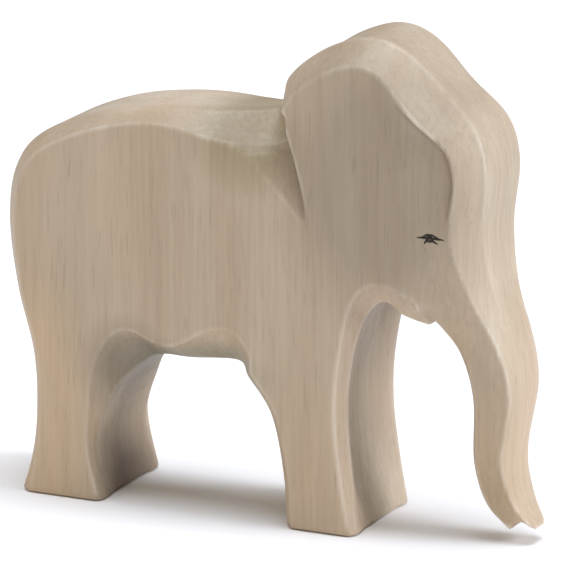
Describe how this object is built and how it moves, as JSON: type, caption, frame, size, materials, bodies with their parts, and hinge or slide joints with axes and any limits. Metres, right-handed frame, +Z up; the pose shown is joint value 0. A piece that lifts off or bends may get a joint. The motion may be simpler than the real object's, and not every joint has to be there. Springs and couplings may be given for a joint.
{
  "type": "carved wooden elephant figurine",
  "caption": "Standing elephant figurine carved from one thick board, with bevelled edges, a hanging trunk and painted eyes; stands free on its feet.",
  "frame": {"origin": "centre of the figure's bounding box on the floor plane, under the feet", "axes": "+X towards the trunk, +Y to the elephant's left side across the board's thickness, +Z up"},
  "size_m": [0.1425, 0.0362, 0.126],
  "materials": {
    "oiled_pale_wood": "oiled, knife-carved, matt",
    "dark_brown_paint": "brushed water-based paint, matt"
  },
  "bodies": {
    "root": {"carved_body": "oiled_pale_wood", "eye_iris_left": "dark_brown_paint", "eye_iris_right": "dark_brown_paint", "eye_lid_line_left": "dark_brown_paint", "eye_lid_line_right": "dark_brown_paint"}
  },
  "joints": []
}
